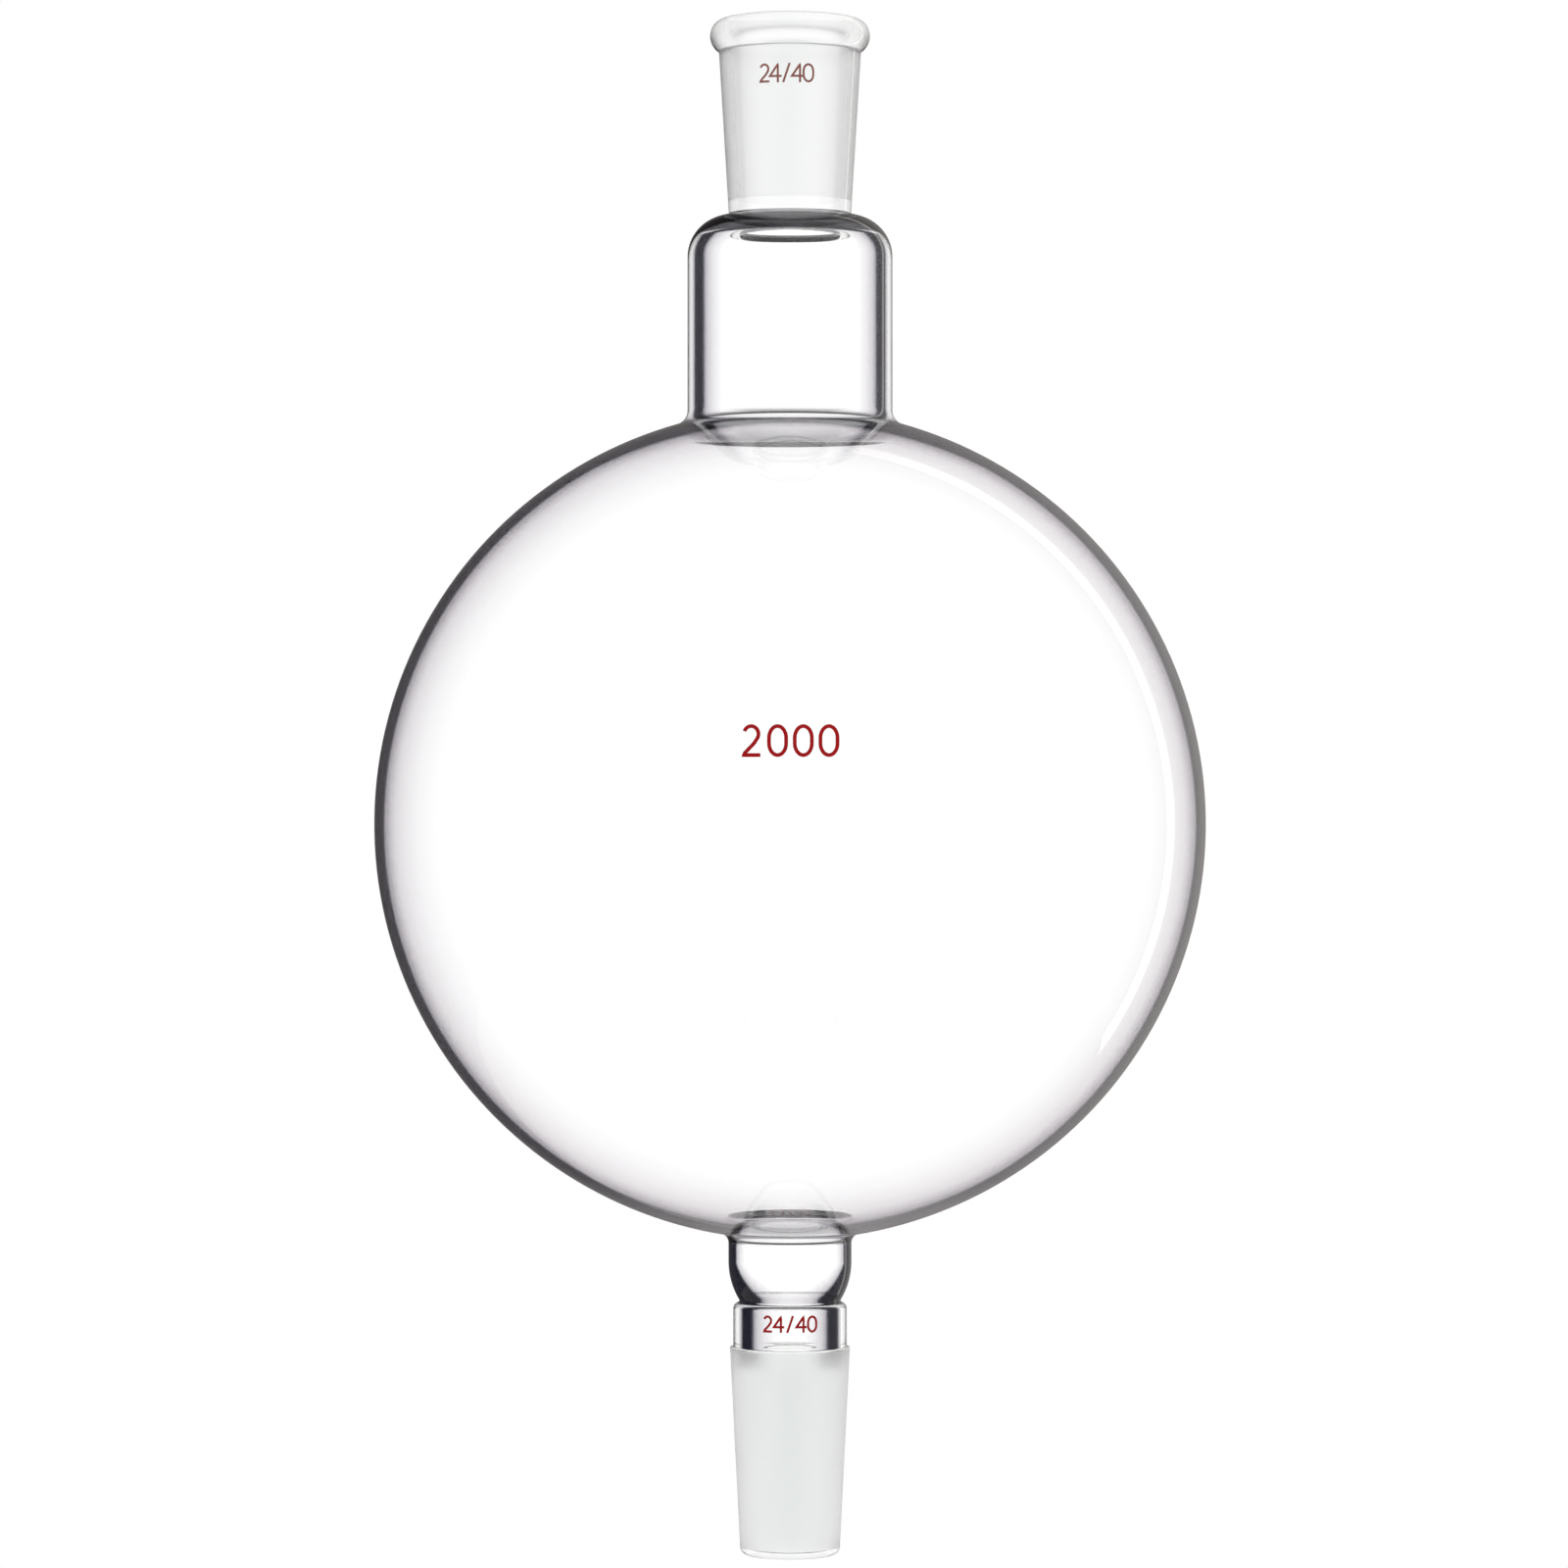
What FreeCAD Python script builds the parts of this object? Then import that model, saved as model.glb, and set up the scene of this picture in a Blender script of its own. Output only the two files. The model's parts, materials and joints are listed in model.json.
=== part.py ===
import FreeCAD, Part

import math
import os

import Sketcher

# A reservoir flask of borosilicate glass, blown and fused as one piece.
# A round two litre globe has a short wide neck above it, closed by a rounded shoulder that carries a ground
# 24/40 socket with a rolled rim. Below the globe an outlet tube narrows to a throat, stands on a clear collar
# and ends in a ground 24/40 cone. One hollow runs right through, from the socket's mouth to the cone's tip.
#
# Lengths are in millimetres. The axis is Z, with +Z up, and the origin is the centre of the cone's gauge plane,
# where the ground cone is widest. The wall is drawn as a turner sees it: an outline of the outside and an
# outline of the hollow, each turned once about the axis.

SIZES = {
    # Both joints are 24/40: 24 mm wide at the gauge plane, 40 mm long, and a taper of 1 in 10 on the width.
    "joint_width": 24.0,
    "joint_length": 40.0,
    "joint_taper": 10.0,
    # The cone: its fire-polished tip below the ground part, and the wall round its bore.
    "tip_length": 1.6,
    "tip_round": 1.7,
    "cone_wall": 2.1,
    "cone_edge": 0.25,
    "tip_edge": 0.3,
    "bore_run_in": 4.0,
    # The clear collar that the cone was drawn from, and the throat where the outlet tube was fused to it.
    "collar_width": 22.7,
    "collar_length": 8.8,
    "collar_round": 1.1,
    "throat_width": 19.6,
    "throat_bore": 15.2,
    "waist_round": 1.5,
    # The crease where two pieces of tube were fused in the flame.
    "crease_round": 0.4,
    # The outlet tube, round-bottomed above the throat.
    "outlet_width": 24.6,
    "outlet_wall": 1.5,
    "outlet_bowl": 8.2,
    "outlet_length": 21.5,
    "outlet_seam_round": 2.0,
    # The globe.
    "globe_width": 166.0,
    "globe_wall": 2.5,
    # The neck and its shoulder, measured up from the top of the globe.
    "neck_width": 41.0,
    "neck_wall": 2.5,
    "neck_length": 38.7,
    "neck_seam_round": 3.0,
    "shoulder_height": 8.3,
    "shoulder_wall": 3.0,
    "shoulder_inner_round": 5.5,
    # The socket: its wall, the edge at the foot of its bore, and the rolled rim.
    "socket_wall": 2.2,
    "bore_foot_round": 0.8,
    "mouth_lead": 2.3,
    "mouth_round": 0.8,
    "rim_width": 32.0,
    "rim_crown": 3.4,
    "rim_skirt": 3.2,
    "rim_land": 1.0,
    # How far the hollow's outline runs past both ends, so that it cuts clean through.
    "overrun": 5.0,
}

# Places along the axis, as expressions on the sheet.
TIP = "(0 - sizes.joint_length - sizes.tip_length)"
COLLAR_TOP = "sizes.collar_length"
BOWL_TOP = "(sizes.collar_length + sizes.outlet_bowl)"
GLOBE_CENTRE = "(sizes.outlet_length + sizes.globe_width / 2)"
SHOULDER_TOP = "(sizes.outlet_length + sizes.globe_width + sizes.neck_length)"
NECK_TOP = f"({SHOULDER_TOP} - sizes.shoulder_height)"
CEILING = f"({SHOULDER_TOP} - sizes.shoulder_wall)"
MOUTH_GAUGE = f"({CEILING} + sizes.joint_length)"
RIM_TOP = f"({MOUTH_GAUGE} + sizes.mouth_lead)"
RIM_MIDDLE = f"({RIM_TOP} - sizes.rim_crown)"
RIM_FOOT = f"({RIM_MIDDLE} - sizes.rim_skirt)"

# Distances from the axis.
JOINT_WIDE = "(sizes.joint_width / 2)"
JOINT_NARROW = "(sizes.joint_width / 2 - sizes.joint_length / sizes.joint_taper / 2)"
COLLAR = "(sizes.collar_width / 2)"
THROAT = "(sizes.throat_width / 2)"
OUTLET = "(sizes.outlet_width / 2)"
GLOBE = "(sizes.globe_width / 2)"
NECK = "(sizes.neck_width / 2)"
SOCKET_FOOT = f"({JOINT_NARROW} + sizes.socket_wall)"
SOCKET_HEAD = f"({JOINT_WIDE} + sizes.socket_wall)"
RIM = "(sizes.rim_width / 2)"
RIM_LAND = f"({JOINT_WIDE} + sizes.rim_land)"
TIP_BORE = f"({JOINT_NARROW} - sizes.cone_wall)"
CONE_BORE = f"({JOINT_WIDE} - sizes.bore_run_in / sizes.joint_taper / 2 - sizes.cone_wall)"
THROAT_BORE = "(sizes.throat_bore / 2)"
OUTLET_BORE = f"({OUTLET} - sizes.outlet_wall)"
GLOBE_BORE = f"({GLOBE} - sizes.globe_wall)"
NECK_BORE = f"({NECK} - sizes.neck_wall)"


def on_globe(radius, globe, side):
    """The height at which a globe of this radius is this far from the axis, above (+) or below (-) its centre."""
    return f"({GLOBE_CENTRE} {side} sqrt({globe}^2 - {radius}^2))"


def make_sheet(document):
    """The driving sizes, one to a row: the name in column A and the number in column B, under an alias."""
    sheet = document.addObject("Spreadsheet::Sheet", "sizes")
    for row, (name, size) in enumerate(SIZES.items(), start=1):
        sheet.set(f"A{row}", name)
        sheet.set(f"B{row}", str(size))
        sheet.setAlias(f"B{row}", name)
    document.recompute()
    return sheet


class Outline:
    """A closed half-section on the body's own XZ plane, drawn corner by corner from expressions on the sheet."""

    # How a sketch numbers its own upright axis and origin, and the points of an edge.
    AXIS, ORIGIN = -2, (-1, 1)
    START, END, CENTRE = 1, 2, 3

    def __init__(self, body, name, radius, height):
        self.sketch = body.newObject("Sketcher::SketchObject", name)
        section = next(f for f in body.Origin.OriginFeatures if f.Role == "XZ_Plane")
        self.sketch.AttachmentSupport = [(section, "")]
        self.sketch.MapMode = "FlatFace"
        self.first = self.here = self.place(radius, height)
        self.first_place = (radius, height)
        self.last_edge = self.end_of_last = None

    def place(self, radius, height):
        """A point of the sketch at this distance from the axis and this height."""
        x, y = (float(self.sketch.evalExpression(text)) for text in (radius, height))
        return FreeCAD.Vector(x, y, 0)

    def add(self, curve):
        """Adds an edge that starts where the one before it ends."""
        edge = self.sketch.addGeometry(curve, False)
        if self.last_edge is not None:
            self.sketch.addConstraint(
                Sketcher.Constraint("Coincident", self.last_edge, self.end_of_last, edge, self.start_of(curve))
            )
        return edge

    def start_of(self, curve):
        """Which end of this edge is its first: an arc is kept anticlockwise, so its ends may be swapped."""
        begin = curve.StartPoint if hasattr(curve, "StartPoint") else curve.value(curve.FirstParameter)
        return self.START if begin.isEqual(self.here, 1e-6) else self.END

    def pin(self, edge, end, radius=None, height=None):
        """Ties a point of an edge to the sheet, by its distance from the axis, its height or both."""
        if radius == "0":
            self.sketch.addConstraint(Sketcher.Constraint("PointOnObject", edge, end, self.AXIS))
            radius = None
        point = self.sketch.getPoint(edge, end)
        for kind, text, size in (("DistanceX", radius, point.x), ("DistanceY", height, point.y)):
            if text is None:
                continue
            row = self.sketch.addConstraint(Sketcher.Constraint(kind, *self.ORIGIN, edge, end, size))
            name = f"edge{edge}_{'out' if kind == 'DistanceX' else 'up'}_{end}"
            self.sketch.renameConstraint(row, name)
            self.sketch.setExpression(f"Constraints.{name}", text)

    def go_on(self, edge, curve, there):
        """Makes the far end of the newest edge the place to draw on from."""
        first = self.start_of(curve)
        self.end_of_last = self.END if first == self.START else self.START
        if self.last_edge is None:
            self.first_edge, self.first_end = edge, first
            self.pin(edge, first, *self.first_place)
        self.last_edge, self.here = edge, there
        return self.end_of_last

    def line_to(self, radius, height, free_height=False):
        """A straight run. With free_height its end slides up or down until it meets the arc that follows."""
        there = self.place(radius, height)
        curve = Part.LineSegment(self.here, there)
        edge = self.add(curve)
        end = self.go_on(edge, curve, there)
        self.pin(edge, end, radius, None if free_height else height)

    def arc_about(self, centre, start, there):
        """The shorter arc from start to there about a centre."""
        radius = (start - centre).Length
        angles = [math.atan2(p.y - centre.y, p.x - centre.x) for p in (start, there)]
        if (angles[1] - angles[0]) % (2 * math.pi) > math.pi:
            angles.reverse()
        circle = Part.Circle(centre, FreeCAD.Vector(0, 0, 1), radius)
        return Part.ArcOfCircle(circle, *angles)

    def round_to(self, radius, height, centre_height):
        """An arc that is upright where it passes its centre's height, which is the height of one of its ends."""
        there = self.place(radius, height)
        level = self.place("0", centre_height).y
        rise = (there.x ** 2 + (there.y - level) ** 2) - (self.here.x ** 2 + (self.here.y - level) ** 2)
        centre = FreeCAD.Vector(rise / (2 * (there.x - self.here.x)), level, 0)
        curve = self.arc_about(centre, self.here, there)
        edge = self.add(curve)
        end = self.go_on(edge, curve, there)
        self.pin(edge, end, radius, height)
        self.pin(edge, self.CENTRE, height=centre_height)

    def globe_to(self, radius, height, centre_height, globe_radius):
        """A stretch of a circle about a point on the axis. Its end is as far from the axis as the next run."""
        there = self.place(radius, height)
        centre = self.place("0", centre_height)
        curve = self.arc_about(centre, self.here, there)
        edge = self.add(curve)
        end = self.go_on(edge, curve, there)
        self.pin(edge, end, radius)
        self.pin(edge, self.CENTRE, "0", centre_height)
        size = (there - centre).Length
        row = self.sketch.addConstraint(Sketcher.Constraint("Radius", edge, size))
        self.sketch.renameConstraint(row, "globe_radius")
        self.sketch.setExpression("Constraints.globe_radius", globe_radius)

    def close(self):
        """Runs back down the axis to the first corner."""
        curve = Part.LineSegment(self.here, self.first)
        edge = self.add(curve)
        first = (self.first_edge, self.first_end)
        self.sketch.addConstraint(Sketcher.Constraint("Coincident", edge, self.END, *first))
        return self.sketch


def draw_outside(body):
    """The outside, from the cone's tip up to the rolled rim."""
    line = Outline(body, "outside", "0", TIP)
    line.line_to(JOINT_NARROW, TIP)
    line.line_to(JOINT_NARROW, "(0 - sizes.joint_length)")
    line.line_to(JOINT_WIDE, "0")
    line.line_to(COLLAR, "0")
    line.line_to(COLLAR, COLLAR_TOP)
    line.line_to(THROAT, COLLAR_TOP)
    line.round_to(OUTLET, BOWL_TOP, BOWL_TOP)
    line.line_to(OUTLET, on_globe(OUTLET, GLOBE, "-"), free_height=True)
    line.globe_to(NECK, on_globe(NECK, GLOBE, "+"), GLOBE_CENTRE, GLOBE)
    line.line_to(NECK, NECK_TOP)
    line.round_to(SOCKET_FOOT, SHOULDER_TOP, NECK_TOP)
    line.line_to(SOCKET_HEAD, RIM_FOOT)
    line.round_to(RIM, RIM_MIDDLE, RIM_MIDDLE)
    line.round_to(RIM_LAND, RIM_TOP, RIM_MIDDLE)
    line.line_to("0", RIM_TOP)
    return line.close()


def draw_hollow(body):
    """The hollow, from below the cone's tip up past the socket's mouth."""
    below = f"({TIP} - sizes.overrun)"
    above = f"({RIM_TOP} + sizes.overrun)"
    inner_round = f"({CEILING} - sizes.shoulder_inner_round)"
    line = Outline(body, "hollow", "0", below)
    line.line_to(TIP_BORE, below)
    line.line_to(TIP_BORE, TIP)
    line.line_to(CONE_BORE, "(0 - sizes.bore_run_in)")
    line.line_to(THROAT_BORE, "0")
    line.line_to(THROAT_BORE, COLLAR_TOP)
    line.round_to(OUTLET_BORE, BOWL_TOP, BOWL_TOP)
    line.line_to(OUTLET_BORE, on_globe(OUTLET_BORE, GLOBE_BORE, "-"), free_height=True)
    line.globe_to(NECK_BORE, on_globe(NECK_BORE, GLOBE_BORE, "+"), GLOBE_CENTRE, GLOBE_BORE)
    line.line_to(NECK_BORE, inner_round)
    line.round_to(f"({NECK_BORE} - sizes.shoulder_inner_round)", CEILING, inner_round)
    line.line_to(JOINT_NARROW, CEILING)
    line.line_to(JOINT_WIDE, MOUTH_GAUGE)
    line.line_to(JOINT_WIDE, above)
    line.line_to("0", above)
    return line.close()


def turn(body, kind, name, sketch):
    """Turns an outline once round the axis, to add glass (Revolution) or to take it away (Groove)."""
    feature = body.newObject(f"PartDesign::{kind}", name)
    feature.Profile = sketch
    feature.ReferenceAxis = (sketch, ["V_Axis"])
    feature.Angle = 360
    body.Document.recompute()
    return feature


def rings_at(feature, places):
    """The names of the feature's ring edges at these places, each a distance from the axis and a height."""
    found = []
    for radius, height in places:
        out, up = (float(feature.evalExpression(text)) for text in (radius, height))
        names = [
            f"Edge{number}"
            for number, edge in enumerate(feature.Shape.Edges, start=1)
            if isinstance(edge.Curve, Part.Circle)
            and abs(edge.Curve.Radius - out) < 1e-3
            and abs(edge.Curve.Center.z - up) < 1e-3
            and abs(edge.Curve.Axis.z) > 0.999
        ]
        if len(names) != 1:
            raise RuntimeError(f"{feature.Name}: {len(names)} ring edges at {out:.3f}, {up:.3f}")
        found += names
    return found


def dress(body, kind, name, base, size, *places):
    """Rounds (Fillet) or breaks (Chamfer) ring edges, as flame-working and grinding leave them."""
    feature = body.newObject(f"PartDesign::{kind}", name)
    feature.Base = (base, rings_at(base, places))
    feature.setExpression("Radius" if kind == "Fillet" else "Size", size)
    body.Document.recompute()
    return feature


def make_flask(document):
    """The whole flask as one body."""
    body = document.addObject("PartDesign::Body", "flask")
    body.Label = "flask"
    body.Placement = FreeCAD.Placement()
    glass = turn(body, "Revolution", "outer_form", draw_outside(body))
    whole = glass.Shape.Volume
    glass = turn(body, "Groove", "hollow_form", draw_hollow(body))
    if not 0 < glass.Shape.Volume < whole:
        raise RuntimeError("the hollow takes no glass away")

    outlet_seam = (OUTLET, on_globe(OUTLET, GLOBE, "-"))
    outlet_seam_inside = (OUTLET_BORE, on_globe(OUTLET_BORE, GLOBE_BORE, "-"))
    neck_seam = (NECK, on_globe(NECK, GLOBE, "+"))
    neck_seam_inside = (NECK_BORE, on_globe(NECK_BORE, GLOBE_BORE, "+"))
    outlet_inner = "sizes.outlet_seam_round + sizes.outlet_wall"
    neck_inner = "sizes.neck_seam_round + sizes.neck_wall"
    glass = dress(body, "Fillet", "outlet_seam", glass, "sizes.outlet_seam_round", outlet_seam)
    glass = dress(body, "Fillet", "outlet_seam_inside", glass, outlet_inner, outlet_seam_inside)
    glass = dress(body, "Fillet", "neck_seam", glass, "sizes.neck_seam_round", neck_seam)
    glass = dress(body, "Fillet", "neck_seam_inside", glass, neck_inner, neck_seam_inside)
    glass = dress(body, "Fillet", "collar_shoulder", glass, "sizes.collar_round", (COLLAR, COLLAR_TOP))
    waist = [(CONE_BORE, "(0 - sizes.bore_run_in)"), (THROAT_BORE, "0"), (THROAT_BORE, COLLAR_TOP)]
    creases = [(THROAT, COLLAR_TOP), (SOCKET_FOOT, SHOULDER_TOP), (SOCKET_HEAD, RIM_FOOT)]
    glass = dress(body, "Fillet", "waist", glass, "sizes.waist_round", *waist)
    glass = dress(body, "Fillet", "fused_creases", glass, "sizes.crease_round", *creases)
    glass = dress(body, "Chamfer", "cone_top_edge", glass, "sizes.cone_edge", (JOINT_WIDE, "0"))
    glass = dress(body, "Fillet", "polished_tip", glass, "sizes.tip_round", (JOINT_NARROW, TIP))
    glass = dress(body, "Fillet", "tip_inner_edge", glass, "sizes.tip_edge", (TIP_BORE, TIP))
    glass = dress(body, "Fillet", "bore_foot", glass, "sizes.bore_foot_round", (JOINT_NARROW, CEILING))
    glass = dress(body, "Fillet", "mouth_edge", glass, "sizes.mouth_round", (JOINT_WIDE, RIM_TOP))
    body.Tip = glass
    return body


def check(document, bodies):
    """Stops the build if anything failed, or if a piece isn't one whole solid."""
    failed = [o.Name for o in document.Objects if {"Invalid", "Error"} & set(o.State)]
    if failed:
        raise RuntimeError(f"these did not recompute: {', '.join(failed)}")
    for body in bodies:
        shape = body.Shape
        if shape.isNull() or not shape.isValid() or len(shape.Solids) != 1:
            raise RuntimeError(f"{body.Label} is not one valid solid")


def main():
    document = FreeCAD.newDocument("reservoir_flask")
    make_sheet(document)
    bodies = [make_flask(document)]
    document.recompute()
    check(document, bodies)
    os.makedirs("parts", exist_ok=True)
    for body in bodies:
        body.Shape.exportStep(f"parts/{body.Label}.step")
        box = body.Shape.BoundBox
        print(f"{body.Label}: {body.Shape.Volume / 1000:.1f} ml of glass, "
              f"{box.XLength:.1f} x {box.YLength:.1f} x {box.ZLength:.1f} mm, "
              f"from {box.ZMin:.1f} to {box.ZMax:.1f} mm, {len(body.Shape.Faces)} faces")


main()
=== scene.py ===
# %% [markdown]
# A reservoir flask in borosilicate glass
#
# The real flask is blown and drawn from tube, and its pieces are fused in the flame until they are one piece of
# glass: a round two litre globe, a neck and a ground socket above, an outlet tube, a collar and a ground cone below.
# This script turns the same wall as a fine mesh, gives it the finish of clear and of ground glass, prints plain
# numbers on it in red enamel, and stands it in a white studio, as glassware is photographed. Sizes are in
# millimetres until the last step of each mesh, and +Z is up along the flask's axis.

import json
import math
from collections import namedtuple

import bpy
import numpy as np
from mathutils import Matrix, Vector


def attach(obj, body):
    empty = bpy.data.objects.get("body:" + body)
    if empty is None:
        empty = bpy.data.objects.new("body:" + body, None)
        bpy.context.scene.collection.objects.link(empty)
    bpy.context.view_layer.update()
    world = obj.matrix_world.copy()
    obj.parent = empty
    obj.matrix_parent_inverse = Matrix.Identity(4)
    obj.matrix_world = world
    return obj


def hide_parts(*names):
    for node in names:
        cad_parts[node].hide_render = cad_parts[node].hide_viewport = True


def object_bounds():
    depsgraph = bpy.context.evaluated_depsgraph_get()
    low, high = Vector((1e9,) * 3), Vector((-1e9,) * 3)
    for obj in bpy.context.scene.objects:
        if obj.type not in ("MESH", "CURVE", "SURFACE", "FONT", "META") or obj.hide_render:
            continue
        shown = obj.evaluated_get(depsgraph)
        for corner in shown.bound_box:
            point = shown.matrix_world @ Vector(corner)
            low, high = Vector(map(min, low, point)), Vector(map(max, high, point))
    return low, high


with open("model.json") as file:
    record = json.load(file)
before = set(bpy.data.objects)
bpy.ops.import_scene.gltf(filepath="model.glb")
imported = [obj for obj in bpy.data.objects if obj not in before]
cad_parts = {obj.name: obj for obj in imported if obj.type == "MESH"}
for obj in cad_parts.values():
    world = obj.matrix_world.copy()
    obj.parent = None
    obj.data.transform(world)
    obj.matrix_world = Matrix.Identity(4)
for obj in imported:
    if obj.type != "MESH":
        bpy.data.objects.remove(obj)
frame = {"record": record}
cad_low, cad_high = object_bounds()

MM = 0.001
scene = bpy.context.scene
print("the flask's own box, mm:", [round(v / MM, 1) for v in (*cad_low, *cad_high)])

# %% [markdown]
# Sizes
#
# The places along the axis come from the frame: the foot and the top from the flask's box, and the two wide ends of
# the ground joints from its mounts. The widths and the walls are those of the flask's own drawing. A lathe-turned
# form needs nothing else: every point of it is a distance from the axis and a height.

# %% Places along the axis
mounts = {mount["name"]: mount for mount in frame["record"]["mounts"]}
TIP = cad_low.z / MM
RIM_TOP = cad_high.z / MM
CONE_GAUGE = mounts["cone_joint"]["pos_m"][2] / MM
SOCKET_GAUGE = mounts["socket_joint"]["pos_m"][2] / MM
JOINT_LENGTH = 40.0
CONE_FOOT = CONE_GAUGE - JOINT_LENGTH
SOCKET_FOOT = SOCKET_GAUGE - JOINT_LENGTH

COLLAR_LENGTH = 8.8
OUTLET_BOWL = 8.2
OUTLET_LENGTH = 21.5
GLOBE_WIDTH = 166.0
NECK_LENGTH = 38.7
SHOULDER_HEIGHT = 8.3
SHOULDER_INNER_ROUND = 5.5
BORE_RUN_IN = 4.0
RIM_CROWN = 3.4
RIM_SKIRT = 3.2

COLLAR_TOP = CONE_GAUGE + COLLAR_LENGTH
BOWL_TOP = COLLAR_TOP + OUTLET_BOWL
GLOBE_CENTRE = CONE_GAUGE + OUTLET_LENGTH + GLOBE_WIDTH / 2
SHOULDER_TOP = CONE_GAUGE + OUTLET_LENGTH + GLOBE_WIDTH + NECK_LENGTH
NECK_TOP = SHOULDER_TOP - SHOULDER_HEIGHT
CEILING_ROUND = SOCKET_FOOT - SHOULDER_INNER_ROUND
RIM_MIDDLE = RIM_TOP - RIM_CROWN
RIM_FOOT = RIM_MIDDLE - RIM_SKIRT
print(f"from the tip at {TIP:.1f} to the rim at {RIM_TOP:.1f} mm, globe's centre at {GLOBE_CENTRE:.1f} mm")

# %% Distances from the axis
JOINT_WIDE = 12.0
JOINT_NARROW = 10.0
CONE_WALL = 2.1
SOCKET_WALL = 2.2
COLLAR = 11.35
THROAT = 9.8
THROAT_BORE = 7.6
OUTLET = 12.3
OUTLET_WALL = 1.5
GLOBE = GLOBE_WIDTH / 2
GLOBE_WALL = 2.5
NECK = mounts["neck"]["dims"]["r_mm"]
NECK_WALL = 2.5
RIM = 16.0
RIM_LAND = JOINT_WIDE + 1.0
CONE_BORE = JOINT_WIDE - (JOINT_WIDE - JOINT_NARROW) * BORE_RUN_IN / JOINT_LENGTH - CONE_WALL
OUTLET_BORE = OUTLET - OUTLET_WALL
GLOBE_BORE = GLOBE - GLOBE_WALL
NECK_BORE = NECK - NECK_WALL
print(f"globe {2 * GLOBE:.0f} mm across with a {GLOBE_WALL} mm wall, neck {2 * NECK:.0f} mm across")

# %% Rounds that the flame and the grinding leave
TIP_ROUND = 1.7
TIP_EDGE = 0.3
CONE_EDGE = 0.25
COLLAR_ROUND = 1.1
WAIST_ROUND = 1.5
CREASE_ROUND = 0.4
OUTLET_SEAM_ROUND = 2.0
NECK_SEAM_ROUND = 3.0
BORE_FOOT_ROUND = 0.8
MOUTH_ROUND = 0.8

# %% [markdown]
# The half-section
#
# A glassblower's drawing shows half of the wall, cut along the axis. It is one closed line: up the outside from the
# tip to the rim, and down the hollow again. It could be drawn as a curve with handles, but here it is a list of
# straight and round edges, because then each width and height above stays exactly what it says. Where two edges
# meet, a small arc rounds the corner, as the flame does.
#
# Each edge also carries the marks of the dark band that is painted on its wall as shade: the share of the half-width
# that the wall takes up, how far into the band its outermost rim already lies, how deep the band's painted tone is,
# how much pale painted haze follows it further in, and whether the wall is that of a tube.

# %% The marks of a painted dark band
Band = namedtuple("Band", "wall rim depth haze tube", defaults=(0.0, 1.0, 0.0, 0.0))
NO_BAND = Band(wall=1.0, depth=0.0)
print("marks:", ", ".join(Band._fields))


# %% One edge of the half-section
class Edge:
    """A straight edge, or a round one about a centre, read by the distance along it."""

    def __init__(self, start, end, centre=None, rounded=0.0, ground=0.0, **bands):
        self.start = np.array(start, float)
        self.centre = None if centre is None else np.array(centre, float)
        self.rounded = rounded
        self.ground = ground
        self.band = np.array(bands.get("band", NO_BAND))
        self.last_band = np.array(bands.get("last_band", self.band))
        self.fade = bands.get("fade")
        self.round_band = bands.get("round_band")
        if centre is None:
            run = np.array(end, float) - self.start
            self.length = math.hypot(*run)
            self.way = run / self.length
        else:
            first, last = (math.atan2(z - centre[1], r - centre[0]) for r, z in (start, end))
            turn = (last - first + math.pi) % math.tau - math.pi
            self.radius = math.hypot(*(self.start - self.centre))
            self.first = first
            self.sense = math.copysign(1.0, turn)
            self.length = abs(turn) * self.radius

    def at(self, distance):
        """The point and the direction of travel this far from the edge's start."""
        if self.centre is None:
            return self.start + self.way * distance, self.way
        angle = self.first + self.sense * distance / self.radius
        out = np.array([math.cos(angle), math.sin(angle)])
        return self.centre + self.radius * out, self.sense * np.array([-out[1], out[0]])

    def band_at(self, distance):
        """The marks of the dark band this far along, which may change on the way."""
        return self.band + (self.last_band - self.band) * min(1.0, distance / (self.fade or self.length))


print("an edge is straight, or round about a centre")


# %% Draw with them
class HalfSection:
    """A closed line of edges, each a distance from the axis and a height, in millimetres."""

    def __init__(self, radius, height):
        self.first = self.here = (radius, height)
        self.edges = []

    def go(self, radius, height, centre=None, **finish):
        """An edge to this place, with the finish that Edge takes: its far corner's rounding and its surface."""
        self.edges.append(Edge(self.here, (radius, height), centre, **finish))
        self.here = (radius, height)

    def sweep(self, radius, height, level, **finish):
        """A round edge that is upright where it passes this level."""
        (r0, z0), (r1, z1) = self.here, (radius, height)
        centre = (r1**2 + (z1 - level) ** 2 - r0**2 - (z0 - level) ** 2) / (2 * (r1 - r0))
        self.go(radius, height, (centre, level), **finish)


def on_globe(radius, globe, side):
    """The height at which a globe of this radius is this far from the axis."""
    return GLOBE_CENTRE + side * math.sqrt(globe**2 - radius**2)


print(f"globe meets outlet at {on_globe(OUTLET, GLOBE, -1):.1f} mm and neck at {on_globe(NECK, GLOBE, 1):.1f} mm")
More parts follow.
